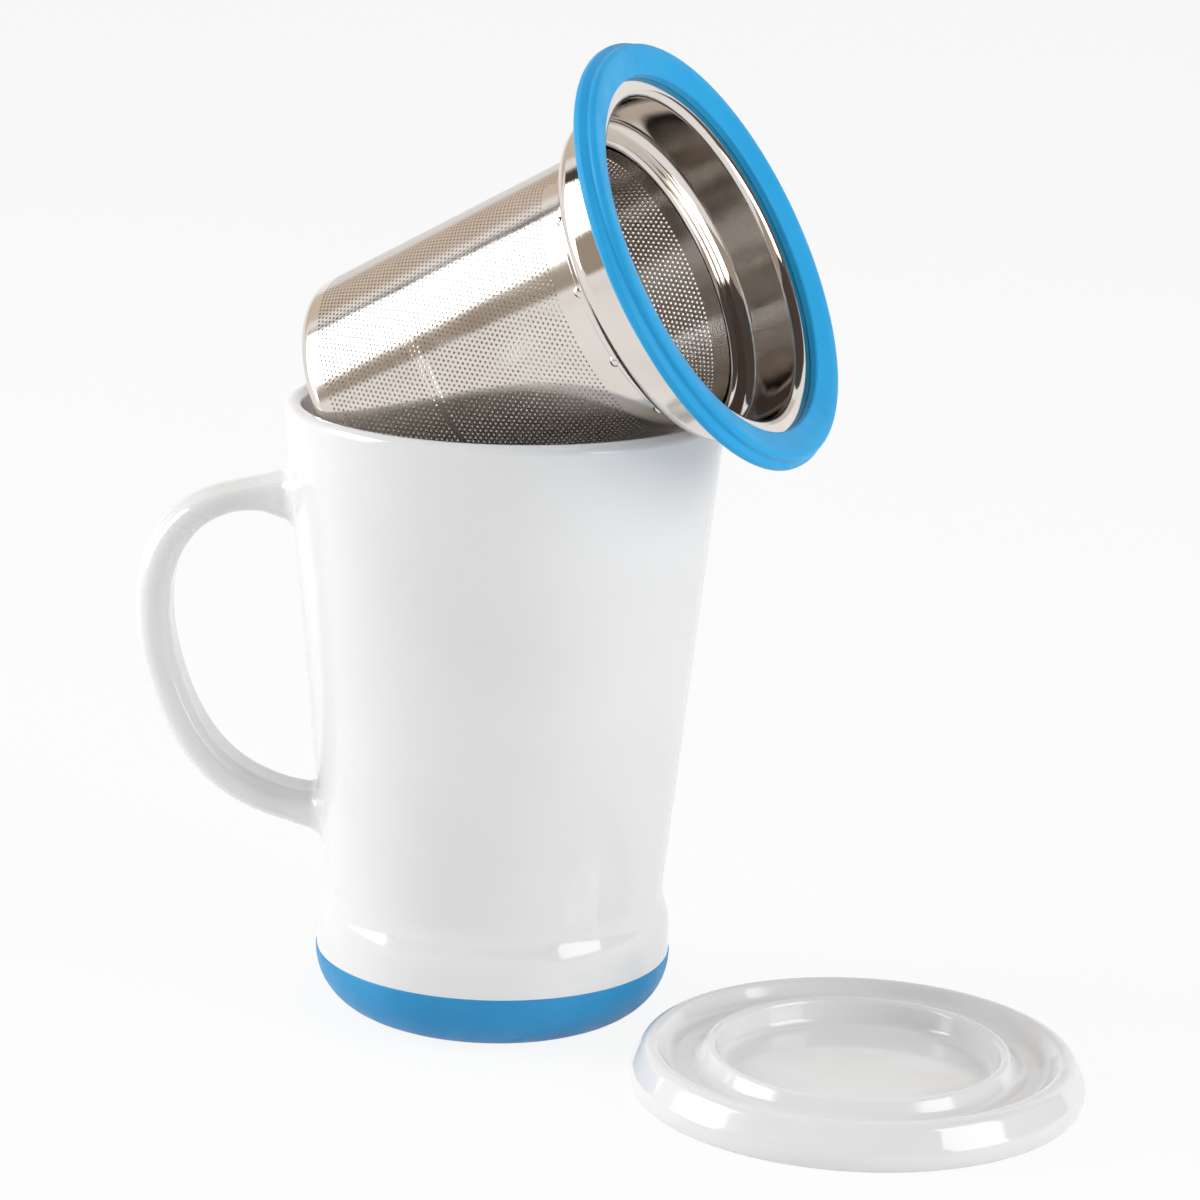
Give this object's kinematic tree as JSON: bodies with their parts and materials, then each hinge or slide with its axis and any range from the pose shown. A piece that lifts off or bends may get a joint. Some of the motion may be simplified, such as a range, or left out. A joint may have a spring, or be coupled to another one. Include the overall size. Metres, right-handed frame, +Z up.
{
  "type": "lidded tea mug with infuser",
  "caption": "Tall tapered tea mug with a loop handle and soft foot, a perforated steel infuser tilted across its mouth, and a loose lid lying beside it as a tray.",
  "frame": {"origin": "centre of the flat underside of the silicone foot, on the table", "axes": "+Z up along the mug's axis, -X towards the handle, -Y towards the viewer of the picture"},
  "size_m": [0.1938, 0.1359, 0.2008],
  "materials": {
    "white_glaze": "glossy white glaze",
    "blue_silicone": "soft matte sky-blue silicone",
    "perforated_steel": "thin stainless sheet with fine punched holes",
    "polished_steel": "drawn stainless, polished outside and satin inside"
  },
  "bodies": {
    "mug": {"mug_body": "white_glaze", "mug_handle": "white_glaze", "base_boot": "blue_silicone"},
    "infuser": {"basket_sleeve": "perforated_steel", "basket_floor": "perforated_steel", "infuser_collar": "polished_steel", "seal_ring": "blue_silicone", "weld_spots": "polished_steel"},
    "lid": {"lid": "white_glaze"}
  },
  "joints": [
    {"name": "infuser_lift", "type": "slide", "parent": "mug", "child": "infuser", "axis": [0, 0, 1], "range_m": [0, 0.1]},
    {"name": "lid_lift", "type": "slide", "parent": "mug", "child": "lid", "axis": [0, 0, 1], "range_m": [0, 0.08]}
  ]
}
